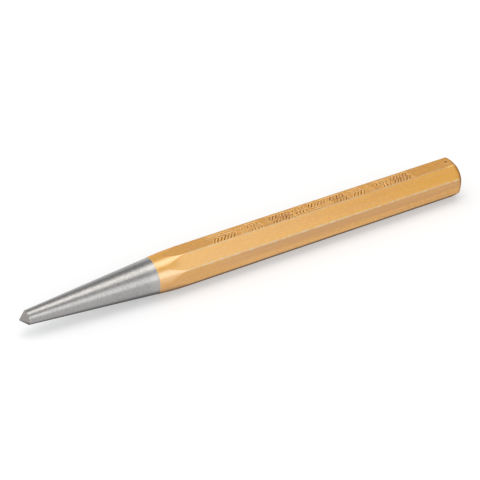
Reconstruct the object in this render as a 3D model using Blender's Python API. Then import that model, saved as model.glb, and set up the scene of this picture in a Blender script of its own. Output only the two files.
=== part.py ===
"""Center punch: an octagonal bar with a ground cone, a blunt point and a crowned head.

The punch lies on one of its flats, with its axis along X, the point towards -X and the
head towards +X. The origin is on the ground under the middle of its length.
"""

import math

import bmesh
import bpy

# Sizes of the bar, in metres
LENGTH = 0.100
FLAT_COUNT = 8
ACROSS_FLATS = 0.008
BAR_EDGE_RADIUS = 0.00028

# Sizes of the ground end, with the angles measured across the whole cone
POINT_DIAMETER = 0.003
POINT_ANGLE = math.radians(84.0)
POINT_TIP_RADIUS = 0.00014
POINT_EDGE_RADIUS = 0.00012
TAPER_ANGLE = math.radians(9.84)

# Sizes of the striking head, with the bevel measured inwards from the flats
HEAD_BEVEL_WIDTH = 0.0010
HEAD_BEVEL_ANGLE = math.radians(51.0)
HEAD_CROWN_RADIUS = 0.0070
HEAD_EDGE_RADIUS = 0.0010

# Distance from the point to the edge of the lacquer
LACQUER_LINE = 0.0285

# How finely round stretches are divided
TURNED_SEGMENTS = 96
CORNER_SEGMENTS = 4
CROWN_SEGMENTS = 6

# How far the bar and the form run past each other before they are cut
OVERRUN = 0.001

# Colours of the two finishes, as linear red, green and blue
LACQUER_COLOUR = (0.70, 0.40, 0.13, 1.0)
STEEL_COLOUR = (0.42, 0.41, 0.40, 1.0)
LACQUER_SLOT = 0
STEEL_SLOT = 1

# Edges that turn more than this stay crisp in the shading
SHARP_EDGE_ANGLE = math.radians(4.5)


def make_material(name, colour, roughness, metallic):
    """One finish of the bar."""
    material = bpy.data.materials.new(name)
    material.use_nodes = True
    shader = material.node_tree.nodes["Principled BSDF"]
    shader.inputs["Base Color"].default_value = colour
    shader.inputs["Roughness"].default_value = roughness
    shader.inputs["Metallic"].default_value = metallic
    material.diffuse_color = colour
    return material


def unit(across, along):
    """A direction of length one."""
    size = math.hypot(across, along)
    return across / size, along / size


def rounded_corner(before, corner, after, radius):
    """Points of the arc that rounds a corner between two straight stretches."""
    back = unit(before[0] - corner[0], before[1] - corner[1])
    ahead = unit(after[0] - corner[0], after[1] - corner[1])
    half = math.acos(max(-1.0, min(1.0, back[0] * ahead[0] + back[1] * ahead[1]))) / 2
    middle = unit(back[0] + ahead[0], back[1] + ahead[1])
    reach = radius / math.sin(half)
    centre = (corner[0] + middle[0] * reach, corner[1] + middle[1] * reach)
    setback = radius / math.tan(half)
    start = (corner[0] + back[0] * setback, corner[1] + back[1] * setback)
    first = math.atan2(start[1] - centre[1], start[0] - centre[0])
    turn = math.pi - 2 * half
    cross = back[0] * ahead[1] - back[1] * ahead[0]
    sign = -1.0 if cross > 0 else 1.0
    points = []
    for step in range(CORNER_SEGMENTS + 1):
        angle = first + sign * turn * step / CORNER_SEGMENTS
        points.append((centre[0] + radius * math.cos(angle),
                       centre[1] + radius * math.sin(angle)))
    return points


def corner_radius():
    """Distance from the axis to a sharp corner of the octagon."""
    return ACROSS_FLATS / 2 / math.cos(math.pi / FLAT_COUNT)


def point_outline():
    """The blunt point and the foot of the taper, as distance from the point and radius."""
    half_point = POINT_ANGLE / 2
    point_radius = POINT_DIAMETER / 2

    # The rounded tip starts at zero, so the sharp cone's own apex lies before it
    apex = POINT_TIP_RADIUS - POINT_TIP_RADIUS / math.sin(half_point)
    tip = []
    for step in range(CORNER_SEGMENTS + 1):
        angle = (math.pi / 2 - half_point) * step / CORNER_SEGMENTS
        tip.append((POINT_TIP_RADIUS * (1 - math.cos(angle)), POINT_TIP_RADIUS * math.sin(angle)))

    # The taper runs on past the bar's corners
    base = (apex + point_radius / math.tan(half_point), point_radius)
    outside = corner_radius() + OVERRUN
    taper_end = (base[0] + (outside - point_radius) / math.tan(TAPER_ANGLE / 2), outside)
    return tip + rounded_corner((apex, 0.0), base, taper_end, POINT_EDGE_RADIUS) + [taper_end]


def head_outline():
    """The bevel and the crowned face, as distance from the point and radius."""
    face_radius = ACROSS_FLATS / 2 - HEAD_BEVEL_WIDTH
    sphere_centre = LENGTH - HEAD_CROWN_RADIUS
    face_station = sphere_centre + math.sqrt(HEAD_CROWN_RADIUS ** 2 - face_radius ** 2)
    face_edge = (face_station, face_radius)
    outside = corner_radius() + OVERRUN
    bevel_start = (face_station - (outside - face_radius) / math.tan(HEAD_BEVEL_ANGLE), outside)

    # The crown leaves the face's edge along the sphere's tangent
    slope = math.asin(face_radius / HEAD_CROWN_RADIUS)
    ahead = (face_station + math.sin(slope), face_radius - math.cos(slope))
    edge = rounded_corner(bevel_start, face_edge, ahead, HEAD_EDGE_RADIUS)
    last_angle = math.atan2(edge[-1][1], edge[-1][0] - sphere_centre)
    crown = []
    for step in range(1, CROWN_SEGMENTS + 1):
        angle = last_angle * (1 - step / CROWN_SEGMENTS)
        crown.append((sphere_centre + HEAD_CROWN_RADIUS * math.cos(angle),
                      HEAD_CROWN_RADIUS * math.sin(angle)))
    return [bevel_start] + edge + crown


def from_point(station):
    """Place along X of a distance from the point."""
    return station - LENGTH / 2


def turned_form():
    """What the grinding wheel and the lathe leave: the form turned about the axis."""
    outline = point_outline() + head_outline()
    mesh = bmesh.new()
    chain = [mesh.verts.new((from_point(station), 0.0, radius)) for station, radius in outline]
    edges = [mesh.edges.new(pair) for pair in zip(chain, chain[1:])]
    bmesh.ops.spin(mesh, geom=chain + edges, cent=(0, 0, 0), axis=(1, 0, 0),
                   angle=2 * math.pi, steps=TURNED_SEGMENTS, use_merge=True)
    bmesh.ops.remove_doubles(mesh, verts=mesh.verts, dist=1e-7)
    bmesh.ops.recalc_face_normals(mesh, faces=mesh.faces)
    return mesh


def octagon_outline():
    """The bar's section, with each of its long edges rounded."""
    corners = []
    for index in range(FLAT_COUNT):
        angle = (index + 0.5) * 2 * math.pi / FLAT_COUNT
        corners.append((corner_radius() * math.sin(angle), corner_radius() * math.cos(angle)))
    outline = []
    for index, corner in enumerate(corners):
        after = corners[(index + 1) % FLAT_COUNT]
        outline += rounded_corner(corners[index - 1], corner, after, BAR_EDGE_RADIUS)
    return outline


def octagon_bar():
    """The drawn bar, longer than the punch at both ends."""
    mesh = bmesh.new()
    outline = octagon_outline()
    ends = []
    for station in (-OVERRUN, LENGTH + OVERRUN):
        ends.append([mesh.verts.new((from_point(station), y, z)) for y, z in outline])
        mesh.faces.new(ends[-1])
    near, far = ends
    for index in range(len(outline)):
        mesh.faces.new((near[index - 1], near[index], far[index], far[index - 1]))
    bmesh.ops.recalc_face_normals(mesh, faces=mesh.faces)
    return mesh


def make_object(name, mesh):
    """A named object from a finished mesh."""
    data = bpy.data.meshes.new(name)
    mesh.to_mesh(data)
    mesh.free()
    item = bpy.data.objects.new(name, data)
    bpy.context.scene.collection.objects.link(item)
    return item


def ground_bar():
    """The bar ground to the turned form, which leaves scallops where the cone meets the flats."""
    punch = make_object("center_punch", octagon_bar())
    form = make_object("turned_form", turned_form())
    form.hide_render = True
    form.display_type = "WIRE"
    grind = punch.modifiers.new("grind_to_form", "BOOLEAN")
    grind.operation = "INTERSECT"
    grind.solver = "EXACT"
    grind.object = form
    evaluated = punch.evaluated_get(bpy.context.evaluated_depsgraph_get())
    ground = bpy.data.meshes.new_from_object(evaluated)
    punch.modifiers.clear()
    punch.data = ground
    bpy.data.objects.remove(form, do_unlink=True)
    return punch


def finish_surface(punch):
    """Lacquer from the lacquer's edge to the head, and bare ground steel before it."""
    edge = from_point(LACQUER_LINE)
    mesh = bmesh.new()
    mesh.from_mesh(punch.data)
    everything = list(mesh.verts) + list(mesh.edges) + list(mesh.faces)
    bmesh.ops.bisect_plane(mesh, geom=everything, dist=1e-7, plane_co=(edge, 0, 0),
                           plane_no=(1, 0, 0))
    for face in mesh.faces:
        bare = face.calc_center_median().x < edge
        face.material_index = STEEL_SLOT if bare else LACQUER_SLOT
    mesh.to_mesh(punch.data)
    mesh.free()
    punch.data.materials.append(make_material("gold_lacquer", LACQUER_COLOUR, 0.42, 0.45))
    punch.data.materials.append(make_material("ground_steel", STEEL_COLOUR, 0.38, 1.0))
    punch.data.shade_smooth()
    punch.data.set_sharp_from_angle(angle=SHARP_EDGE_ANGLE)


def build():
    """Make the punch and lay it on one of its flats."""
    for item in list(bpy.data.objects):
        bpy.data.objects.remove(item, do_unlink=True)
    punch = ground_bar()
    finish_surface(punch)
    punch.location.z = ACROSS_FLATS / 2


build()
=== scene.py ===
"""The looks of the center punch: one ground octagonal bar, most of it under gold lacquer."""

import math

import bmesh
import bpy
from mathutils import Matrix, Quaternion, Vector


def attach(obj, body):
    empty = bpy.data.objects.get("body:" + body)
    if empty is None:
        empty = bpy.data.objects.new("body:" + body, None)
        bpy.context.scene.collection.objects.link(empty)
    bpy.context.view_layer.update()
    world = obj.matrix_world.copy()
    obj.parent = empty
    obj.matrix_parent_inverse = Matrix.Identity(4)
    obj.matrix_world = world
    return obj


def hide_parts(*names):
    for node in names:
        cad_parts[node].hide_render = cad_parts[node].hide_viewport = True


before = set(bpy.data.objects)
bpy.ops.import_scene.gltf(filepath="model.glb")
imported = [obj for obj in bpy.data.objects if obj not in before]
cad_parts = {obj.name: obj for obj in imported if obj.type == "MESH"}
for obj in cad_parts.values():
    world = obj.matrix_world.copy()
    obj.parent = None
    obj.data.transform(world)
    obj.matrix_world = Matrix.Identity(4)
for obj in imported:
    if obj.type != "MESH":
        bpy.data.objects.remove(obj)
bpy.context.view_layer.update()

# The punch. The real one is a single piece of tool steel: an octagonal drawn bar with one
# end ground to a long cone and a short blunt point, and the other bevelled and crowned for
# the hammer. The cone cuts into the flats, so tongues and scallops ring the shoulder.
LENGTH = 0.100
FLAT_COUNT = 8
ACROSS_FLATS = 0.008
BAR_EDGE_RADIUS = 0.00028
POINT_DIAMETER = 0.003
POINT_ANGLE = math.radians(84.0)
POINT_TIP_RADIUS = 0.00014
TAPER_ANGLE = math.radians(9.84)
HEAD_BEVEL_WIDTH = 0.0010
HEAD_BEVEL_ANGLE = math.radians(51.0)
HEAD_CROWN_RADIUS = 0.0070
LACQUER_LINE = 0.0282
LACQUER_THICKNESS = 0.00003

# Where the rows of the mesh stop following the scallops and stand square to the axis
SQUARE_STATION = 0.038

# How much of each crease is rounded off, as the reach of the blend in the radius or length
POINT_BLEND = 0.00003
SHOULDER_BLEND = 0.00007
RIM_BLEND = 0.00034
FACE_BLEND = 0.00008

# The surface is a sheet rolled round the axis, and each whole number is a place that the
# outline passes on its way from the tip to the middle of the struck face
TIP, FOOT, LINE, SHOULDER, SQUARE, RIM, BEVEL, FACE = range(8)

# How wide the lacquer's edge is, as a share of the stretch that starts with it
LACQUER_LIP = 0.012


class Worked:
    """Something that nodes work out, so that a rule can be written as a sum."""

    def __init__(self, tree, socket):
        self.tree = tree
        self.socket = socket

    def math(self, operation, *others, first=None):
        """This number with the others, or first with this number, in a math node."""
        values = (self, *others) if first is None else (first, self)
        node = self.tree.nodes.new("ShaderNodeMath")
        node.operation = operation
        for place, value in enumerate(values):
            feed(self.tree, node.inputs[place], value)
        return Worked(self.tree, node.outputs[0])

    def __add__(self, other):
        return self.math("ADD", other)

    def __radd__(self, other):
        return self.math("ADD", first=other)

    def __sub__(self, other):
        return self.math("SUBTRACT", other)

    def __rsub__(self, other):
        return self.math("SUBTRACT", first=other)

    def __mul__(self, other):
        return self.math("MULTIPLY", other)

    def __truediv__(self, other):
        return self.math("DIVIDE", other)

    def root(self):
        """Its square root, where nothing counts as below zero."""
        return self.math("MAXIMUM", 0.0).math("SQRT")

    def blend(self, other, share):
        """This number where the share is 0, and the other where it is 1."""
        return self + (other - self) * share

    def rise(self, start, end, eased=True):
        """From 0 to 1 as the number goes from start to end, gently or evenly."""
        node = self.tree.nodes.new("ShaderNodeMapRange")
        node.interpolation_type = "SMOOTHERSTEP" if eased else "LINEAR"
        for name, value in (("Value", self), ("From Min", start), ("From Max", end)):
            feed(self.tree, node.inputs[name], value)
        return Worked(self.tree, node.outputs["Result"])

    def other(self, name):
        """Another output of the same node."""
        return Worked(self.tree, self.socket.node.outputs[name])


def feed(tree, socket, value):
    """Give a socket what nodes have worked out, or a plain value."""
    if isinstance(value, Worked):
        tree.links.new(value.socket, socket)
    else:
        socket.default_value = value


def add(tree, kind, settings=None, **inputs):
    """A node with its settings and its inputs by name, as the first thing that it gives."""
    node = tree.nodes.new(kind)
    for name, value in (settings or {}).items():
        setattr(node, name, value)
    for name, value in inputs.items():
        label = name.replace("_", " ")
        socket = next(socket for socket in node.inputs if socket.name == label and socket.enabled)
        feed(tree, socket, value)
    outputs = [socket for socket in node.outputs if socket.enabled]
    return Worked(tree, outputs[0]) if outputs else None


def new_group(kind, name, takes, gives):
    """A node group, what arrives at its named inputs, and the inputs of its last node."""
    tree = bpy.data.node_groups.new(name, kind)
    for label, sort in takes.items():
        tree.interface.new_socket(label, in_out="INPUT", socket_type="NodeSocket" + sort)
    for label, sort in gives.items():
        tree.interface.new_socket(label, in_out="OUTPUT", socket_type="NodeSocket" + sort)
    arrivals = tree.nodes.new("NodeGroupInput").outputs
    taken = {label: Worked(tree, arrivals[label]) for label in takes}
    return tree, taken, tree.nodes.new("NodeGroupOutput").inputs


def use_tree(item, tree, values):
    """A modifier that runs a tree with these values at its named inputs."""
    modifier = item.modifiers.new(tree.name, "NODES")
    modifier.node_group = tree
    for socket in tree.interface.items_tree:
        if socket.in_out == "INPUT" and socket.name in values:
            modifier[socket.identifier] = values[socket.name]


# The columns of the sheet, as shares of half a flat, and the steps round each rounded edge
FLAT_SHARES = (-1.0, -0.96, -0.84, -0.56, -0.28, 0.0, 0.28, 0.56, 0.84, 0.96, 1.0)
EDGE_STEPS = 8

# The rows of the sheet: even or crowded ones in each stretch, and more at its creases, as
# shares of the stretch
TIP_ROWS = 14
TIP_CROWDING = 1.6
TIP_LAST_ROWS = [0.95, 0.975, 0.99]
CONE_ROWS = 28
CONE_FIRST_ROWS = [0, 0.0008, 0.0016, 0.003, 0.006, 0.015]
CONE_LAST_ROWS = [0.99, 0.998]
LIP_ROWS = [0, LACQUER_LIP * 0.15, LACQUER_LIP * 0.4, LACQUER_LIP]
COATED_CONE_ROWS = 16
COATED_CONE_LAST_ROWS = [0.955, 0.97, 0.98, 0.99]
SHOULDER_ROWS = 8
SHOULDER_FIRST_ROWS = [0, 0.01, 0.02, 0.03, 0.045, 0.07]
SHANK_LAST_ROWS = [0.9925, 0.995, 0.9965, 0.9975, 0.9985, 0.9993]
RIM_ROWS = 10
FACE_ROWS = 26
FACE_CROWDING = 1.3

# The shank's own rows, in millimetres from the tip. Two fields of them get finer cells, for the
# stamped band and for a small pit beside the head, each between its first and last column.
SHANK_LENGTH = 0.0605
SHANK_FIRST_ROWS = [38.0, 38.9, 39.8]
FIELD_START = 40.56
FIELD_PITCH = 0.48
FIELD_CELLS = 100
FIELD_COLUMNS = (2, 10)
SHANK_ROWS = [89.5, 90.5, 91.5, 92.5, 93.5, 94.5, 95.5, 96.4, 96.8]
PIT_ROWS = [97.1, 97.5, 97.9]
PIT_COLUMNS = (3, 6)
ROW_SLACK = 0.1
FINE_STEPS = 8


def bearings():
    """The angles round the bar that get a column, close together on its rounded edges."""
    half_flat = math.pi / FLAT_COUNT
    inner = ACROSS_FLATS / 2 - BAR_EDGE_RADIUS
    edge_centre = inner / math.cos(half_flat)
    angles = []
    for flat in range(FLAT_COUNT):
        middle = 2 * half_flat * flat
        for share in FLAT_SHARES:
            across = share * inner * math.tan(half_flat)
            angles.append(middle + math.atan2(across, ACROSS_FLATS / 2))
        for step in range(1, EDGE_STEPS):
            arc = half_flat * (2 * step / EDGE_STEPS - 1)
            aside = BAR_EDGE_RADIUS * math.sin(arc)
            ahead = edge_centre + BAR_EDGE_RADIUS * math.cos(arc)
            angles.append(middle + half_flat + math.atan2(aside, ahead))
    return angles


def even(count):
    """Shares that part a stretch evenly, without its end."""
    return [step / count for step in range(count)]


def shank_shares(stations):
    """Shares of the shank for distances from the point in millimetres."""
    return [(station / 1000 - SQUARE_STATION) / SHANK_LENGTH for station in stations]


def places():
    """The places along the outline that get a row, close together at the creases."""
    field = [FIELD_START + FIELD_PITCH * step for step in range(FIELD_CELLS + 1)]
    shank = SHANK_FIRST_ROWS + field + SHANK_ROWS + PIT_ROWS
    shares = {
        TIP: [(step / TIP_ROWS) ** TIP_CROWDING for step in range(1, TIP_ROWS)] + TIP_LAST_ROWS,
        FOOT: CONE_FIRST_ROWS + even(CONE_ROWS)[1:] + CONE_LAST_ROWS,
        LINE: LIP_ROWS + even(COATED_CONE_ROWS)[1:] + COATED_CONE_LAST_ROWS,
        SHOULDER: SHOULDER_FIRST_ROWS + even(SHOULDER_ROWS)[1:],
        SQUARE: shank_shares(shank) + SHANK_LAST_ROWS,
        RIM: even(RIM_ROWS),
        BEVEL: [(step / FACE_ROWS) ** FACE_CROWDING for step in range(FACE_ROWS)],
    }
    return [stretch + share for stretch, group in shares.items() for share in group]


def first_row(rows, station):
    """The number of the row that stands at a distance from the tip in millimetres."""
    just_before = SQUARE + shank_shares([station - ROW_SLACK])[0]
    return next(number for number, row in enumerate(rows) if row > just_before)


def sheet(rows, columns, fields):
    """The unrolled surface, with X as the place along the outline and Y as the bearing.

    Both poles are single points and the long sides are joined already. Each field, given as
    its first and last row and column, has every cell divided again.
    """
    mesh = bmesh.new()
    points = {}

    def vertex(row, column):
        """The vertex at a row and column, counted in fine steps."""
        column %= len(columns) * FINE_STEPS
        if (row, column) not in points:
            whole_row, part_row = divmod(row, FINE_STEPS)
            whole_column, part_column = divmod(column, FINE_STEPS)
            place = rows[whole_row]
            if part_row:
                place += (rows[whole_row + 1] - place) * part_row / FINE_STEPS
            angle = columns[whole_column]
            if part_column:
                angle += (columns[whole_column + 1] - angle) * part_column / FINE_STEPS
            points[row, column] = mesh.verts.new((place, angle, 0.0))
        return points[row, column]

    def in_field(*corners):
        """Whether one field holds all of these corners."""
        return any(all(top <= row <= bottom and left <= column <= right for row, column in corners)
                   for top, bottom, left, right in fields)

    def side(start, end):
        """The vertices along a cell's side, without the one at its end."""
        steps = FINE_STEPS if in_field(start, end) else 1
        pace = FINE_STEPS // steps
        return [vertex(start[0] * FINE_STEPS + (end[0] - start[0]) * pace * step,
                       start[1] * FINE_STEPS + (end[1] - start[1]) * pace * step)
                for step in range(steps)]

    for row in range(len(rows) - 1):
        for column in range(len(columns)):
            corners = [(row, column), (row, column + 1), (row + 1, column + 1), (row + 1, column)]
            if not in_field(*corners):
                ends = corners[1:] + corners[:1]
                outline = [point for pair in zip(corners, ends) for point in side(*pair)]
                if len(outline) == 4:
                    mesh.faces.new(outline)
                    continue
                total = sum((point.co for point in outline), Vector())
                middle = mesh.verts.new(total / len(outline))
                for here, onward in zip(outline, outline[1:] + outline[:1]):
                    mesh.faces.new((here, onward, middle))
                continue
            top, left = row * FINE_STEPS, column * FINE_STEPS
            for down in range(top, top + FINE_STEPS):
                for along in range(left, left + FINE_STEPS):
                    mesh.faces.new((vertex(down, along), vertex(down, along + 1),
                                    vertex(down + 1, along + 1), vertex(down + 1, along)))
    for row, pole in ((0, TIP), (len(rows) - 1, FACE)):
        point = mesh.verts.new((pole, 0.0, 0.0))
        for column in range(len(columns)):
            pair = [vertex(row * FINE_STEPS, (column + step) * FINE_STEPS) for step in (0, 1)]
            mesh.faces.new([point] + (pair[::-1] if pole == TIP else pair))
    return mesh


def keep_mask(tree, shape, name, value):
    """The shape with a number kept at each of its points, for its finish to read."""
    return add(tree, "GeometryNodeStoreNamedAttribute", {"data_type": "FLOAT"},
               Geometry=shape, Name=name, Value=value)


def two_finishes(tree, shape, size):
    """The shape made real, with steel up to the lacquer's edge and lacquer from there on."""
    shape = add(tree, "GeometryNodeRealizeInstances", Geometry=shape)
    along = add(tree, "ShaderNodeSeparateXYZ", Vector=add(tree, "GeometryNodeInputPosition"))
    line = size["Lacquer Line"] - size["Length"] * 0.5
    shape = add(tree, "GeometryNodeSetMaterial", Geometry=shape, Material=size["Steel"])
    return add(tree, "GeometryNodeSetMaterial", Geometry=shape, Material=size["Lacquer"],
               Selection=along.math("GREATER_THAN", line))


BAR_SIZES = {
    "Length": LENGTH,
    "Across Flats": ACROSS_FLATS,
    "Edge Radius": BAR_EDGE_RADIUS,
    "Point Diameter": POINT_DIAMETER,
    "Point Angle": POINT_ANGLE,
    "Tip Radius": POINT_TIP_RADIUS,
    "Taper Angle": TAPER_ANGLE,
    "Bevel Width": HEAD_BEVEL_WIDTH,
    "Bevel Angle": HEAD_BEVEL_ANGLE,
    "Crown Radius": HEAD_CROWN_RADIUS,
    "Lacquer Line": LACQUER_LINE,
    "Lacquer Thickness": LACQUER_THICKNESS,
    "Square Station": SQUARE_STATION,
}

# Where the masks for the finishes start and end on the outline, counted in its stretches, and
# how far they spread at the end of a flat, as an angle. The rim's mask rises in two steps, each
# with its share, and loses a share again on the struck face.
EDGE_STARTS = (SHOULDER, SHOULDER + 0.06)
EDGE_ENDS = (RIM, RIM + 0.4)
EDGE_SPREAD = 0.05
GROUND_ENDS = (SHOULDER - 0.01, SHOULDER + 0.01)
TONGUE_ENDS = (SHOULDER, SHOULDER + 0.16)
TONGUE_SPREAD = (0.06, 0.05)
RIM_DARKENS = (RIM - 0.012, RIM + 0.001)
RIM_DEEPENS = (RIM - 0.002, RIM + 0.05)
RIM_SHARES = (0.55, 0.45)
FACE_LIGHTENS = (BEVEL + 0.10, BEVEL + 0.22)
FACE_LOSS = 0.7
POINT_TONE_ENDS = (FOOT - 0.06, FOOT)

# How far down the surface faces where the painted shade on the underside starts and where it is
# full, as the sine of its slope, and how much sooner and later these are at the point
UNDER_SHADE_STARTS = 0.22
UNDER_SHADE_FULL = 0.54
POINT_SHADE_SOONER = 0.30
POINT_SHADE_LATER = 0.06


def ground_bar():
    """The tree that rolls the sheet into the bar, ground at one end and bevelled at the other."""
    sizes = dict.fromkeys(BAR_SIZES, "Float")
    tree, size, leave = new_group(
        "GeometryNodeTree", "ground bar",
        {"Geometry": "Geometry", **sizes, "Steel": "Material", "Lacquer": "Material"},
        {"Geometry": "Geometry"})
    on_sheet = add(tree, "ShaderNodeSeparateXYZ", Vector=add(tree, "GeometryNodeInputPosition"))
    place = on_sheet.other("X")
    bearing = on_sheet.other("Y")

    # The bar's own section: a flat, or the rounded edge between two flats
    half_flat = math.pi / FLAT_COUNT
    half_width = size["Across Flats"] * 0.5
    inner = half_width - size["Edge Radius"]
    fold = bearing.math("PINGPONG", half_flat)
    flat_end = (inner * math.tan(half_flat) / half_width).math("ARCTANGENT")
    reach = inner / math.cos(half_flat)
    aside = reach * (half_flat - fold).math("SINE")
    rounding = (size["Edge Radius"] * size["Edge Radius"] - aside * aside).root()
    edge_radius = reach * (half_flat - fold).math("COSINE") + rounding
    flat_radius = half_width / fold.math("COSINE")
    bar_radius = flat_radius.blend(edge_radius, fold.math("GREATER_THAN", flat_end))

    # What the wheel leaves at the point, as the distance from the tip at each change
    point_slope = (size["Point Angle"] * 0.5).math("TANGENT")
    apex = size["Tip Radius"] / (size["Point Angle"] * 0.5).math("SINE") - size["Tip Radius"]
    foot_radius = size["Point Diameter"] * 0.5
    foot = foot_radius / point_slope - apex
    taper_slope = (size["Taper Angle"] * 0.5).math("TANGENT")
    shoulder = foot + (bar_radius - foot_radius) / taper_slope

    # What the lathe leaves at the head
    face_radius = half_width - size["Bevel Width"]
    crown = size["Crown Radius"]
    crown_centre = size["Length"] - crown
    face_edge = crown_centre + (crown * crown - face_radius * face_radius).root()
    bevel_slope = size["Bevel Angle"].math("TANGENT")
    rim = face_edge - (bar_radius - face_radius) / bevel_slope
    bevel_radius = half_width - size["Bevel Width"] * 0.5
    bevel = face_edge - (bevel_radius - face_radius) / bevel_slope

    # Distance from the tip at each place, one stretch after another
    stops = [foot, size["Lacquer Line"], shoulder, size["Square Station"], rim, bevel]
    station = place.rise(TIP, FOOT, eased=False) * foot
    for start, (near, far) in enumerate(zip(stops, stops[1:]), FOOT):
        station = station + (far - near) * place.rise(start, start + 1, eased=False)

    # The outline's radius there, with the bare steel a film's thickness below the lacquer
    from_apex = station + apex
    point = (from_apex * from_apex - apex * apex).root() * point_slope
    taper = foot_radius + (station - foot) * taper_slope
    turned = point.math("SMOOTH_MIN", taper, POINT_BLEND)
    line_radius = foot_radius + (size["Lacquer Line"] - foot) * taper_slope
    film = size["Lacquer Thickness"] / line_radius
    turned = turned * (1.0 - film * (1.0 - place.rise(LINE, LINE + LACQUER_LIP)))
    bevelled = face_radius + (face_edge - station) * bevel_slope
    radius = turned.math("SMOOTH_MIN", bar_radius, SHOULDER_BLEND)
    radius = radius.math("SMOOTH_MIN", bevelled, RIM_BLEND)

    # The last stretch runs inwards over the bevel and the crown
    inwards = bevel_radius * (1.0 - place.rise(BEVEL, FACE, eased=False))
    on_crown = crown_centre + (crown * crown - inwards * inwards).root()
    on_bevel = face_edge + (face_radius - inwards) / bevel_slope
    on_face = place.math("GREATER_THAN", BEVEL)
    radius = radius.blend(inwards, on_face)
    station = station.blend(on_crown.math("SMOOTH_MIN", on_bevel, FACE_BLEND), on_face)

    # Where the drawn edges of the bar are, for the wear on them
    drawn = place.rise(*EDGE_STARTS) * (1.0 - place.rise(*EDGE_ENDS))
    edge = fold.rise(flat_end - EDGE_SPREAD, half_flat, eased=False) * drawn
    marked = keep_mask(tree, size["Geometry"], "edge", edge)

    # Where the wheel has ground the bar, for the brighter metal under the lacquer there, and for a
    # painted highlight that runs on along the edges past the shoulder
    before, beyond = TONGUE_SPREAD
    tongue = fold.rise(flat_end - before, flat_end + beyond) * (1.0 - place.rise(*TONGUE_ENDS))
    ground = (1.0 - place.rise(*GROUND_ENDS)).math("MAXIMUM", tongue)
    marked = keep_mask(tree, marked, "ground", ground)

    # Where the head's bevel is, for painted shade on it, and less so on the struck face
    first, last = RIM_SHARES
    rim_share = place.rise(*RIM_DARKENS) * first + place.rise(*RIM_DEEPENS) * last
    rim_share = rim_share * (1.0 - place.rise(*FACE_LIGHTENS) * FACE_LOSS)
    marked = keep_mask(tree, marked, "rim", rim_share)

    # Where the short point is, for the warmer tone that hardening has left on it
    at_point = 1.0 - place.rise(*POINT_TONE_ENDS)
    marked = keep_mask(tree, marked, "point", at_point)

    # How far the surface faces down, for the painted shade on the steel's underside
    facing_down = bearing.math("COSINE") * -1.0
    underside_shade = facing_down.rise(UNDER_SHADE_STARTS - at_point * POINT_SHADE_SOONER,
                             UNDER_SHADE_FULL + at_point * POINT_SHADE_LATER)
    marked = keep_mask(tree, marked, "underside_shade", underside_shade)

    rolled = add(tree, "ShaderNodeCombineXYZ",
                 X=station - size["Length"] * 0.5,
                 Y=radius * bearing.math("SINE") * -1.0,
                 Z=half_width + radius * bearing.math("COSINE"))
    bar = add(tree, "GeometryNodeSetPosition", Geometry=marked, Position=rolled)
    feed(tree, leave["Geometry"], two_finishes(tree, bar, size))
    return tree


# The stamped band: plain marks struck into the upper flat before it is lacquered, each one a
# hollow with a raised lip. Panels of herringbone, chevrons, cross cuts and dots fill it, and
# each panel is two lines of one mark.
STAMP_DEPTH = 0.00012
STAMP_WIDTH = 0.00012
STAMP_LIP = 0.00004
STAMP_SEED = 7
SEED_STEP = 10
PANEL_LINES = (0.44, -0.74)

# How far a hand-held stamp strays from mark to mark: aside in metres, in its turn as an angle,
# and in its size as a share
STRAY_ASIDE = 0.00006
STRAY_TURN = 0.08
STRAY_SIZE = 0.1

# Each panel as its first distance from the tip, spacing, count, width and height of a mark in
# millimetres, 1 for a plain mark or -1 for it and its mirror image, and its lean in degrees
PANELS = (
    (41.60, 0.74, 7, 0.0, 1.42, 1, 36),
    (47.40, 0.66, 3, 0.0, 0.24, 1, 0),
    (49.70, 0.76, 4, 0.60, 1.12, 1, 0),
    (55.00, 0.72, 7, 0.0, 1.36, -1, 33),
    (60.60, 0.76, 4, -0.60, 1.12, 1, 0),
    (64.10, 0.74, 6, 0.0, 1.42, 1, -36),
    (69.20, 0.72, 5, 0.0, 1.36, -1, 33),
    (74.10, 0.74, 4, 0.0, 1.42, 1, 36),
    (77.70, 0.66, 2, 0.0, 0.24, 1, 0),
    (80.10, 0.76, 4, 0.60, 1.12, 1, 0),
    (83.80, 0.72, 6, 0.0, 1.36, -1, 33),
)

# The small pit that a knock has left beside the head, in the same terms, and its side
HEAD_PIT = (97.26, 0.11, 4, 0.0, 0.46, 1, 0)
PIT_SIDE = 0.27

# How the metal gives: the hollow's floor as a share of half its width, its wall and the foot of
# its lip as shares of its depth, and in metres the lip's slope, top and reach, how far the flat
# sinks round a mark, and the border that the marks keep to
GROOVE_FLOOR = 0.8
GROOVE_WALL = 0.85
LIP_FOOT = 0.7
LIP_SLOPE = 0.00006
LIP_TOP = 0.00007
LIP_REACH = 0.00030
SUNK_REACH = (0.0003, 0.0008)
SUNK_SHARE = 1.3
FLAT_BORDER = (0.00142, 0.00153)

# How hard the marks are struck: unevenly over the band, and harder at the pit, where the lip
# is lower
FORCE_SCALE = 900.0
FORCE_DETAIL = 2.0
FORCE_CHANGES = (0.38, 0.62)
LEAST_FORCE = 0.45
ADDED_FORCE = 0.75
PIT_STARTS = (0.0463, 0.0465)
PIT_FORCE = 1.2
PIT_LIP_LOSS = 0.75

BAND_SIZES = {
    "Length": LENGTH,
    "Across Flats": ACROSS_FLATS,
    "Lacquer Line": LACQUER_LINE,
    "Mark Width": STAMP_WIDTH,
    "Depth": STAMP_DEPTH,
    "Lip Height": STAMP_LIP,
}


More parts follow.
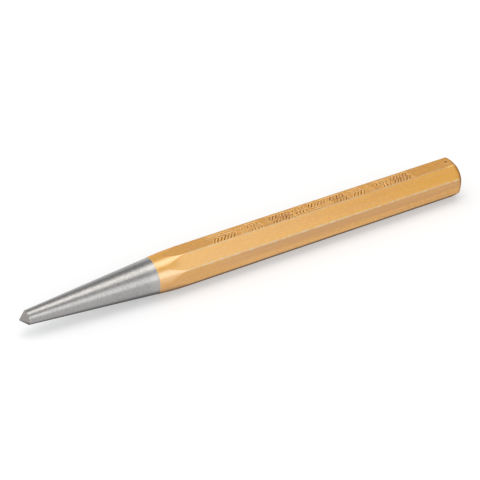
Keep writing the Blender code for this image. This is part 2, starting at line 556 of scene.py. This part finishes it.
def mark_row():
    """The tree for one row of marks, drawn as edges, each set and sized a little its own way."""
    numbers = ("Start", "Spacing", "Side", "Width", "Height", "Facing", "Lean")
    tree, given, leave = new_group(
        "GeometryNodeTree", "mark row",
        {**dict.fromkeys(numbers, "Float"), "Count": "Int", "Seed": "Int"},
        {"Geometry": "Geometry"})

    def stray(reach, seed):
        """A number for each mark, up to this far on either side of zero."""
        return add(tree, "FunctionNodeRandomValue", {"data_type": "FLOAT"},
                   Min=-reach, Max=reach, Seed=given["Seed"] + seed)

    # One mark: a bent line through three points that leans, alone or with its mirror image
    step = add(tree, "GeometryNodeInputIndex") - 1.0
    corner = add(tree, "ShaderNodeCombineXYZ",
                 X=(1.0 - step.math("ABSOLUTE")) * given["Width"] * 0.5,
                 Y=step * given["Height"] * 0.5)
    half = add(tree, "GeometryNodeMeshLine", Count=3)
    half = add(tree, "GeometryNodeSetPosition", Geometry=half, Position=corner)
    half = add(tree, "GeometryNodeTransform", Geometry=half,
               Rotation=add(tree, "ShaderNodeCombineXYZ", Z=given["Lean"]))
    facing = add(tree, "ShaderNodeCombineXYZ", X=given["Facing"], Y=1.0, Z=1.0)
    mark = tree.nodes.new("GeometryNodeJoinGeometry")
    for part in (half, add(tree, "GeometryNodeTransform", Geometry=half, Scale=facing)):
        tree.links.new(part.socket, mark.inputs[0])

    first = add(tree, "ShaderNodeCombineXYZ", X=given["Start"], Y=given["Side"])
    onward = add(tree, "ShaderNodeCombineXYZ", X=given["Spacing"])
    points = add(tree, "GeometryNodeMeshLine", Count=given["Count"],
                 Start_Location=first, Offset=onward)
    shift = add(tree, "ShaderNodeCombineXYZ", X=stray(STRAY_ASIDE, 1), Y=stray(STRAY_ASIDE, 2))
    points = add(tree, "GeometryNodeSetPosition", Geometry=points, Offset=shift)
    placed = add(tree, "GeometryNodeInstanceOnPoints", Points=points,
                 Instance=Worked(tree, mark.outputs[0]),
                 Rotation=add(tree, "ShaderNodeCombineXYZ", Z=stray(STRAY_TURN, 4)),
                 Scale=add(tree, "ShaderNodeCombineXYZ", X=1.0, Y=1.0 + stray(STRAY_SIZE, 3),
                           Z=1.0))
    feed(tree, leave["Geometry"], add(tree, "GeometryNodeRealizeInstances", Geometry=placed))
    return tree


def stamped_band(row_tree):
    """The tree that presses the rows of marks into the upper flat and raises their lips."""
    sizes = dict.fromkeys(BAND_SIZES, "Float")
    tree, size, leave = new_group(
        "GeometryNodeTree", "stamped band",
        {"Geometry": "Geometry", **sizes, "Steel": "Material", "Lacquer": "Material"},
        {"Geometry": "Geometry"})
    join = tree.nodes.new("GeometryNodeJoinGeometry")
    lines = [(panel, line, side) for panel in PANELS for line, side in enumerate(PANEL_LINES)]
    for number, (panel, line, side) in enumerate(lines + [(HEAD_PIT, 0, PIT_SIDE)]):
        start, spacing, count, width, height, facing, lean = panel
        odd = line % 2
        marks = add(tree, "GeometryNodeGroup", {"node_tree": row_tree},
                    Start=(start + odd * spacing * 0.5) / 1000, Spacing=spacing / 1000,
                    Count=count, Side=side / 1000, Width=width / 1000, Height=height / 1000,
                    Facing=float(facing), Lean=math.radians(-lean if odd else lean),
                    Seed=STAMP_SEED + SEED_STEP * number)
        tree.links.new(marks.socket, join.inputs[0])
    lift = add(tree, "ShaderNodeCombineXYZ", X=size["Length"] * -0.5, Z=size["Across Flats"])
    lines = add(tree, "GeometryNodeSetPosition", Geometry=Worked(tree, join.outputs[0]),
                Offset=lift)

    near = add(tree, "GeometryNodeProximity", {"target_element": "EDGES"}, Geometry=lines)
    distance = near.other("Distance")
    position = add(tree, "GeometryNodeInputPosition")
    spot = add(tree, "ShaderNodeSeparateXYZ", Vector=position)
    on_flat = 1.0 - spot.other("Y").math("ABSOLUTE").rise(*FLAT_BORDER)
    patchy = add(tree, "ShaderNodeTexNoise", Vector=position, Scale=FORCE_SCALE,
                 Detail=FORCE_DETAIL)
    force = LEAST_FORCE + patchy.rise(*FORCE_CHANGES, eased=False) * ADDED_FORCE
    at_head = spot.rise(*PIT_STARTS)
    force = force.blend(PIT_FORCE, at_head)

    half = size["Mark Width"] * 0.5
    groove = 1.0 - distance.rise(half * GROOVE_FLOOR, half + size["Depth"] * GROOVE_WALL)
    lip_start = half + size["Depth"] * LIP_FOOT
    lip = distance.rise(lip_start, lip_start + LIP_SLOPE)
    lip = lip * (1.0 - distance.rise(lip_start + LIP_TOP, lip_start + LIP_REACH))
    sunk = 1.0 - distance.rise(*SUNK_REACH)
    pressed = groove * on_flat * force
    raised = lip * on_flat * force * (1.0 - at_head * PIT_LIP_LOSS)
    drop = pressed * size["Depth"] + (sunk * SUNK_SHARE - raised) * on_flat * size["Lip Height"]
    band = keep_mask(tree, size["Geometry"], "pressed", pressed)
    band = keep_mask(tree, band, "raised", raised)
    band = add(tree, "GeometryNodeSetPosition", Geometry=band,
               Offset=add(tree, "ShaderNodeCombineXYZ", Z=drop * -1.0))
    feed(tree, leave["Geometry"], two_finishes(tree, band, size))
    return tree


rows = places()
columns = bearings()
field_top = first_row(rows, FIELD_START)
pit_top = first_row(rows, PIT_ROWS[0])
unrolled = sheet(rows, columns, [(field_top, field_top + FIELD_CELLS, *FIELD_COLUMNS),
                                 (pit_top, pit_top + len(PIT_ROWS) - 1, *PIT_COLUMNS)])
bar_data = bpy.data.meshes.new("punch_bar")
unrolled.to_mesh(bar_data)
unrolled.free()
punch = bpy.data.objects.new("punch_bar", bar_data)
bpy.context.scene.collection.objects.link(punch)
lacquer = bpy.data.materials.new("gold_lacquer")
steel = bpy.data.materials.new("ground_steel")
use_tree(punch, ground_bar(), {**BAR_SIZES, "Steel": steel, "Lacquer": lacquer})
use_tree(punch, stamped_band(mark_row()), {**BAND_SIZES, "Steel": steel, "Lacquer": lacquer})
shaped = punch.evaluated_get(bpy.context.evaluated_depsgraph_get())
punch_mesh = bpy.data.meshes.new_from_object(shaped)
punch.modifiers.clear()
punch.data = punch_mesh
punch_mesh.shade_smooth()

# The finishes, as linear colours
GOLD = (0.70, 0.335, 0.038, 1.0)
GOLD_PALE = (0.82, 0.46, 0.11, 1.0)
GOLD_DEEP = (0.54, 0.22, 0.018, 1.0)
GOLD_SHADED = (0.29, 0.105, 0.014, 1.0)
GOLD_HIGHLIGHT = (0.98, 0.57, 0.14, 1.0)
GOLD_GROUND_SHEEN = (0.76, 0.385, 0.062, 1.0)
GOLD_ROSE = (0.66, 0.33, 0.11, 1.0)
GOLD_YELLOW = (0.78, 0.40, 0.012, 1.0)
GOLD_RICH = (0.62, 0.295, 0.012, 1.0)
WORN_EDGE = (0.61, 0.49, 0.29, 1.0)
DRAWN_AND_SHADED_BAND = (0.555, 0.266, 0.064, 1.0)
GOLD_UNDER_SHADE = (0.20, 0.10, 0.03, 1.0)
STEEL = (0.36, 0.352, 0.345, 1.0)
STEEL_PALE = (0.46, 0.447, 0.433, 1.0)
STEEL_DARK = (0.24, 0.236, 0.232, 1.0)
STEEL_UNDER_SHADE = (0.115, 0.113, 0.111, 1.0)
STEEL_WARM = (0.280, 0.246, 0.224, 1.0)

# The finishes' plain levels, before the masks and the grain change them
LACQUER_ROUGHNESS = 0.36
LACQUER_METAL = 0.10
LACQUER_RELIEF = 0.35
COAT_CLEAR = 0.60
COAT_IOR = 2.5
COAT_ROUGHNESS = 0.22
STEEL_ROUGHNESS = 0.26
STEEL_RELIEF = 0.5
GRAIN_ROUGHNESS = 0.6
GRAIN_DEPTH = 0.00002


def grain():
    """Fine lines that run the way that the metal was drawn or ground."""
    tree, given, leave = new_group(
        "ShaderNodeTree", "grain",
        {"Along": "Float", "Across": "Float", "Detail": "Float", "Softness": "Float"},
        {"Lines": "Float"})
    place = add(tree, "ShaderNodeTexCoord").other("Object")
    pace = add(tree, "ShaderNodeCombineXYZ", X=given["Along"], Y=given["Across"], Z=given["Across"])
    scaled = add(tree, "ShaderNodeVectorMath", {"operation": "MULTIPLY"})
    for socket, value in zip(scaled.socket.node.inputs, (place, pace)):
        feed(tree, socket, value)
    noise = add(tree, "ShaderNodeTexNoise", Vector=scaled, Scale=1.0, Detail=given["Detail"],
                Roughness=GRAIN_ROUGHNESS)
    lines = noise.rise(0.5 - given["Softness"], given["Softness"] + 0.5, eased=False)
    feed(tree, leave["Lines"], lines)
    return tree


def shader_of(material):
    """A material's nodes and its main shader."""
    material.use_nodes = True
    return material.node_tree, material.node_tree.nodes["Principled BSDF"]


def tint(tree, base, other, share):
    """One colour turned towards another."""
    return add(tree, "ShaderNodeMix", {"data_type": "RGBA"}, A=base, B=other, Factor=share)


def lines_of(tree, kind):
    """The grain of one kind."""
    along, across, detail, softness = kind
    return add(tree, "ShaderNodeGroup", {"node_tree": grain_tree}, Along=along, Across=across,
               Detail=detail, Softness=softness)


def mask_of(tree, name):
    """A mask that the bar's mesh carries."""
    return add(tree, "ShaderNodeAttribute", {"attribute_name": name}).other("Fac")


def place_of(tree):
    """How far a point is along the bar, towards the far side, and above the floor."""
    place = add(tree, "ShaderNodeTexCoord").other("Object")
    spot = add(tree, "ShaderNodeSeparateXYZ", Vector=place)
    return [spot.other(axis) for axis in "XYZ"]


# The kinds of grain, each as how often it changes in a metre along the bar and across it, its
# detail, and how soft its lines are
STREAKS = (70.0, 5200.0, 3.0, 0.22)
BROAD_TONE = (28.0, 900.0, 2.0, 0.2)
PATCHES = (75.0, 1000.0, 2.0, 0.16)
SPECKLE = (1700.0, 3800.0, 2.0, 0.15)
YELLOW_BANDS = (60.0, 2300.0, 2.0, 0.12)
DRAWN_STREAKS = (30.0, 2100.0, 2.0, 0.09)
FLECKS = (100.0, 2000.0, 2.0, 0.10)
BROKEN_WEAR = (900.0, 500.0, 3.0, 0.10)
WHEEL_LINES = (16000.0, 500.0, 2.0, 0.25)
WHEEL_BANDS = (3800.0, 900.0, 3.0, 0.2)
STEEL_SPECKLE = (3800.0, 3800.0, 2.0, 0.2)
POINT_MOTTLE = (2600.0, 2600.0, 2.0, 0.12)

# Where the finishes change, each as where a soft border starts and ends in metres. These lie
# along the bar, counted from its middle towards the head.
HEAD_HALF = (-0.010, 0.045)
FRONT_START = (-0.014, 0.004)
RICH_STRETCH = (0.010, 0.046)
SHEEN_STRETCH = (-0.014, 0.030)
DARK_REFLECTION_END = (-0.0182, -0.0158)
GLINT_START = (0.0455, 0.0475)
FACE_START = (0.0485, 0.0489)
BESIDE_LACQUER = (-0.0250, -0.0220)

# These lie above the floor
UPPER_FLAT = (0.00785, 0.00795)
DARK_REFLECTION_FOOT = (0.0062, 0.0069)
DARK_REFLECTION_TOP = (0.0074, 0.0080)
FRONT_LINE_FOOT = (0.0033, 0.0044)
FRONT_LINE_TOP = (0.0053, 0.0058)
FRONT_PALE_TOP = (0.0030, 0.0038)
WEAR_FOOT = (0.0016, 0.0023)
WEAR_FULL = (0.0030, 0.0050)
WEAR_TOP = (0.0062, 0.0076)
GLINT_FOOT = (0.0062, 0.0074)
GROUND_FOOT = (0.0036, 0.0052)
GROUND_DULL = (0.0066, 0.0070)
LOW_EDGE = (0.0014, 0.0028)
LOW_CONE = (0.0016, 0.0036)

# These lie across the bar, counted from its middle towards the far side, and the middle flat's
# counts both this way and up
MIDDLE_FLAT = (0.00950, 0.00964)
FRONT_FLAT = (-0.0039, -0.0037)
GROUND_TURNS_AWAY = (-0.0004, 0.0010)
GLINT_BACK = (-0.0010, 0.0)
FAR_SIDE = (0.0017, 0.0030)

# The turned rings on the struck face, which change with the distance from the axis
AXIS_HEIGHT = ACROSS_FLATS / 2
RING_SCALE = 6500.0
RING_DETAIL = 3.0
RING_ROUGHNESS = 0.7
RING_CHANGES = (0.38, 0.62)

grain_tree = grain()

# Gold lacquer, thin and satin, over drawn steel whose streaks show through
tree, shader = shader_of(lacquer)
along, behind, height = place_of(tree)
streaks = lines_of(tree, STREAKS)
broad = lines_of(tree, BROAD_TONE)
patches = lines_of(tree, PATCHES)
speckle = lines_of(tree, SPECKLE)
bands = lines_of(tree, YELLOW_BANDS)
drawn = lines_of(tree, DRAWN_STREAKS)
fleck = lines_of(tree, FLECKS)
broken = lines_of(tree, BROKEN_WEAR)
pressed = mask_of(tree, "pressed")
raised = mask_of(tree, "raised")
rim = mask_of(tree, "rim")

# The flats that differ in tone, and the stretches of them that do. The lacquer is one colour all
# round, so the tones that set one flat apart from another are painted light and shade.
near_head = along.rise(*HEAD_HALF, eased=False)
on_middle = (height - behind).rise(*MIDDLE_FLAT)
on_upper = height.rise(*UPPER_FLAT)
on_front = 1.0 - behind.rise(*FRONT_FLAT)
past_start = along.rise(*FRONT_START)
front_start = on_front * (1.0 - past_start)
drawn_front = on_front * past_start
rich = on_middle * along.rise(*RICH_STRETCH, eased=False)
painted_sheen = on_middle * (1.0 - along.rise(*SHEEN_STRETCH, eased=False))
painted_dark_reflection = on_middle * height.rise(*DARK_REFLECTION_FOOT) * (1.0 - height.rise(*DARK_REFLECTION_TOP))
painted_dark_reflection = painted_dark_reflection * (1.0 - along.rise(*DARK_REFLECTION_END))
far_side = behind.rise(*FAR_SIDE)
calm = 1.0 - far_side * 0.6

# The lines that drawing has left on the near flat, and how strongly they show, and along the
# middle of its height a darker band, partly a drawn streak and partly painted shade, with a paler
# strip below it
drawn_force = (0.12 + drawn_front * 0.33 + near_head * 0.08) * calm
front_line = height.rise(*FRONT_LINE_FOOT) * (1.0 - height.rise(*FRONT_LINE_TOP)) * drawn_front
front_pale = drawn_front * (1.0 - height.rise(*FRONT_PALE_TOP))

# The worn edges, broken along their length, and a painted highlight at the end of the upper one by
# the rim
edge = mask_of(tree, "edge")
wear = edge.rise(0.08 + near_head * 0.12, 0.85) * (0.2 + broken * 0.65)
wear = wear * (height.rise(*WEAR_FOOT) * 0.3 + height.rise(*WEAR_FULL) * 0.7)
wear = wear * (1.0 - height.rise(*WEAR_TOP) * 0.3)
glint = edge.rise(0.10, 0.60) * height.rise(*GLINT_FOOT) * (1.0 - behind.rise(*GLINT_BACK))
glint = glint * along.rise(*GLINT_START)

# The lacquered part of the ground cone, its paler tone partly painted highlight and so kept to the
# near side, and painted shade on all that lies low
cut = mask_of(tree, "ground")
turned_away = behind.rise(*GROUND_TURNS_AWAY)
ground = cut * height.rise(*GROUND_FOOT) * (1.0 - turned_away)
low_shade = 1.0 - height.rise(*LOW_EDGE)
low_cone_shade = cut * (1.0 - height.rise(*LOW_CONE))

# The rings that turning has left on the struck face
above_axis = height - AXIS_HEIGHT
from_axis = (behind * behind + above_axis * above_axis).root()
rings = add(tree, "ShaderNodeTexNoise", {"noise_dimensions": "1D"}, W=from_axis, Scale=RING_SCALE,
            Detail=RING_DETAIL, Roughness=RING_ROUGHNESS)
rings = rings.rise(*RING_CHANGES, eased=False) * along.rise(*FACE_START)

# The tones, laid one over another, each with the share of it that shows
tones = (
    (GOLD_PALE, streaks * 0.4),
    (GOLD_YELLOW, near_head * (0.15 + bands * 0.6) * (1.0 + on_middle * 0.9 - on_upper * 0.6)),
    (GOLD_DEEP, broad * (0.3 + near_head * 0.6) * calm),
    (GOLD_ROSE, patches * (0.55 - on_middle * near_head * 0.35)),
    (GOLD_DEEP, drawn * drawn_force),
    (GOLD_PALE, (1.0 - drawn) * drawn_force * 0.9),
    (GOLD_YELLOW, fleck * 0.35),
    (GOLD_ROSE, (1.0 - fleck) * (0.35 - on_middle * near_head * 0.25)),
    (GOLD_RICH, front_start * 0.25),
    (GOLD_DEEP, speckle * (0.5 + near_head * 0.35 - rich * 0.35) * calm),
    (GOLD_ROSE, on_upper * 0.2),
    (GOLD_RICH, rich * (0.15 + bands * 0.6)),
    # Painted sheen on the middle flat, strongest towards the tip
    (GOLD_PALE, painted_sheen * 0.6),
    # A painted dark reflection on the middle flat beside the shoulder
    (GOLD_RICH, painted_dark_reflection * 0.65),
    (DRAWN_AND_SHADED_BAND, front_line * (0.45 + drawn * 0.5)),
    (GOLD_PALE, front_pale * (0.35 - near_head * 0.33)),
    # Painted shade in the marks' hollows and a painted highlight on their lips
    (GOLD_SHADED, pressed * 0.9),
    (GOLD_HIGHLIGHT, raised * 0.7),
    (WORN_EDGE, wear),
    # A painted highlight at the upper edge's end by the rim
    (GOLD_HIGHLIGHT, glint * 0.7),
    # The ground cone's paler tone, partly the brighter metal and partly painted highlight
    (GOLD_GROUND_SHEEN, ground * 0.8),
    # Painted shade on all that lies low, on the bar and on the lacquered cone
    (GOLD_UNDER_SHADE, low_shade * 0.9),
    (GOLD_UNDER_SHADE, low_cone_shade * 0.42),
    # Painted shade on the head's bevel
    (GOLD_SHADED, rim * 0.95),
    (GOLD_PALE, rings * (0.45 - rim * 0.3)),
)
colour = GOLD
for tone, share in tones:
    colour = tint(tree, colour, tone, share)
feed(tree, shader.inputs["Base Color"], colour)

# The clear coat is full where the wheel has ground, and thin low down, on the rim and in the marks
on_ground = 0.40 - height.rise(*GROUND_DULL) * 0.30
gloss = COAT_CLEAR + ground * on_ground - near_head * 0.10 - rich * 0.08
gloss = gloss * (1.0 - low_shade * 0.85) * (1.0 - rim * 0.9) * (1.0 - pressed * 0.5)
gloss = gloss * (1.0 - cut * turned_away * 0.6)
feed(tree, shader.inputs["Coat Weight"], gloss)
shader.inputs["Coat IOR"].default_value = COAT_IOR
shader.inputs["Coat Roughness"].default_value = COAT_ROUGHNESS
roughness = LACQUER_ROUGHNESS + streaks * 0.12 + pressed * 0.1 - ground * 0.08
feed(tree, shader.inputs["Roughness"], roughness)
metal = LACQUER_METAL + ground * 0.12 + wear * 0.5 + far_side * 0.35
feed(tree, shader.inputs["Metallic"], metal)
shader.inputs["Specular IOR Level"].default_value = 0.0
relief = add(tree, "ShaderNodeBump", Height=streaks * 0.6 + speckle * 0.4 + rings * 1.5,
             Strength=LACQUER_RELIEF, Distance=GRAIN_DEPTH)
feed(tree, shader.inputs["Normal"], relief)

# Bare steel, with the wheel's marks running round it, paler beside the lacquer, warmer at the
# hardened point, and darker underneath with painted shade
tree, shader = shader_of(steel)
along = place_of(tree)[0]
fine = lines_of(tree, WHEEL_LINES)
coarse = lines_of(tree, WHEEL_BANDS)
speckle = lines_of(tree, STEEL_SPECKLE)
mottle = lines_of(tree, POINT_MOTTLE)
underside_shade = mask_of(tree, "underside_shade")
tones = (
    (STEEL_PALE, coarse * 0.6 + fine * 0.3),
    (STEEL_DARK, speckle * 0.7),
    (STEEL_PALE, along.rise(*BESIDE_LACQUER) * 0.5),
    (STEEL_WARM, mask_of(tree, "point") * (0.25 + mottle * 0.7)),
    # Painted shade on the underside
    (STEEL_UNDER_SHADE, underside_shade * 0.9),
)
colour = STEEL
for tone, share in tones:
    colour = tint(tree, colour, tone, share)
feed(tree, shader.inputs["Base Color"], colour)
feed(tree, shader.inputs["Roughness"], STEEL_ROUGHNESS + coarse * 0.1 + speckle * 0.06)
feed(tree, shader.inputs["Metallic"], 1.0 - underside_shade * 0.9)
shader.inputs["Specular IOR Level"].default_value = 0.0
relief = add(tree, "ShaderNodeBump", Height=fine * 0.6 + coarse * 0.4, Strength=STEEL_RELIEF,
             Distance=GRAIN_DEPTH)
feed(tree, shader.inputs["Normal"], relief)

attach(punch, "root")
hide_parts("center_punch")

# The floor: a plain white sheet under the punch, wide enough to fill the view
FLOOR_RADIUS = 2.5
FLOOR_SIDES = 64
FLOOR_DROP = 0.00002
FLOOR_COLOUR = (0.62, 0.62, 0.62, 1.0)
FLOOR_ROUGHNESS = 0.9
FLOOR_GLOW = 0.37
GLOW_COLOUR = (1.0, 1.0, 1.0, 1.0)

floor_mesh = bmesh.new()
bmesh.ops.create_circle(floor_mesh, cap_ends=True, segments=FLOOR_SIDES, radius=FLOOR_RADIUS)
floor_data = bpy.data.meshes.new("floor")
floor_mesh.to_mesh(floor_data)
floor_mesh.free()
floor_data.transform(Matrix.Translation((0.0, 0.0, -FLOOR_DROP)))
floor = bpy.data.objects.new("floor", floor_data)
bpy.context.scene.collection.objects.link(floor)
white_sheet = bpy.data.materials.new("white_sheet")
tree, shader = shader_of(white_sheet)
shader.inputs["Base Color"].default_value = FLOOR_COLOUR
shader.inputs["Roughness"].default_value = FLOOR_ROUGHNESS
shader.inputs["Specular IOR Level"].default_value = 0.0
rays = add(tree, "ShaderNodeLightPath")
seen = rays.other("Is Camera Ray").math("MAXIMUM", rays.other("Is Glossy Ray"))
seen = seen.math("MAXIMUM", rays.other("Is Transmission Ray"))
shader.inputs["Emission Color"].default_value = GLOW_COLOUR
feed(tree, shader.inputs["Emission Strength"], seen * FLOOR_GLOW)
floor_data.materials.append(white_sheet)

# The light: a pale room with a soft box overhead, another low in front, and three dark screens,
# one between the two boxes, one behind the punch and one past its head
ROOM_LEVEL = 1.10
ROOM_COLOUR = (0.97, 0.985, 1.0, 1.0)
SCREENS = (
    # direction to it, half of its full width and the width of its soft edge in degrees, depth
    ((0.06, -0.553, 0.831), 7.0, 12.0, 0.77),
    ((0.26, 0.667, 0.695), 9.0, 24.0, 0.71),
    ((0.92, 0.094, 0.367), 32.0, 22.0, 0.65),
)
SOFT_BOXES = (
    # name, direction to it, distance, width, height, radiance, colour
    ("overhead_box", (0.05, 0.009, 1.0), 0.70, 0.44, 0.44, 1.85, (1.0, 0.965, 0.91)),
    ("front_box", (0.0, -0.917, 0.366), 0.80, 0.62, 0.46, 1.1, (1.0, 0.98, 0.96)),
)

world = bpy.data.worlds.new("room")
bpy.context.scene.world = world
world.use_nodes = True
tree = world.node_tree
outward = add(tree, "ShaderNodeTexCoord").other("Generated")
level = None
for direction, half_width, soft_edge, depth in SCREENS:
    towards = Vector(direction).normalized()
    along = add(tree, "ShaderNodeVectorMath", {"operation": "DOT_PRODUCT"})
    feed(tree, along.socket.node.inputs[0], outward)
    along.socket.node.inputs[1].default_value = towards
    angle = along.other("Value").math("ARCCOSINE")
    screen = angle.rise(math.radians(half_width), math.radians(half_width + soft_edge))
    open_share = screen * depth + (1.0 - depth)
    level = open_share * ROOM_LEVEL if level is None else level * open_share
background = tree.nodes["Background"]
background.inputs["Color"].default_value = ROOM_COLOUR
feed(tree, background.inputs["Strength"], level)

for name, direction, distance, width, tall, radiance, colour in SOFT_BOXES:
    lamp = bpy.data.lights.new(name, "AREA")
    lamp.shape = "RECTANGLE"
    lamp.size = width
    lamp.size_y = tall
    lamp.color = colour
    lamp.energy = radiance * width * tall * math.pi
    box = bpy.data.objects.new(name, lamp)
    towards = Vector(direction).normalized()
    box.location = towards * distance
    box.rotation_mode = "QUATERNION"
    box.rotation_quaternion = (-towards).to_track_quat("-Z", "Y")
    bpy.context.scene.collection.objects.link(box)

# The camera, where the photograph was taken from
CAMERA_PLACE = Vector((-0.13901, -0.25728, 0.21294))
CAMERA_AIM = Vector((-0.001451, 0.001134, 0.004655))
CAMERA_ROLL = math.radians(-1.215)
CAMERA_LENS = 134.225
SENSOR_WIDTH = 36.0
NEAREST = 0.01

camera_data = bpy.data.cameras.new("camera")
camera_data.lens = CAMERA_LENS
camera_data.sensor_width = SENSOR_WIDTH
camera_data.clip_start = NEAREST
camera = bpy.data.objects.new("camera", camera_data)
camera.location = CAMERA_PLACE
camera.rotation_mode = "QUATERNION"
upright = (CAMERA_AIM - CAMERA_PLACE).to_track_quat("-Z", "Y")
camera.rotation_quaternion = upright @ Quaternion((0, 0, 1), CAMERA_ROLL)
bpy.context.scene.collection.objects.link(camera)
bpy.context.scene.camera = camera
bpy.context.scene.view_settings.view_transform = "Standard"
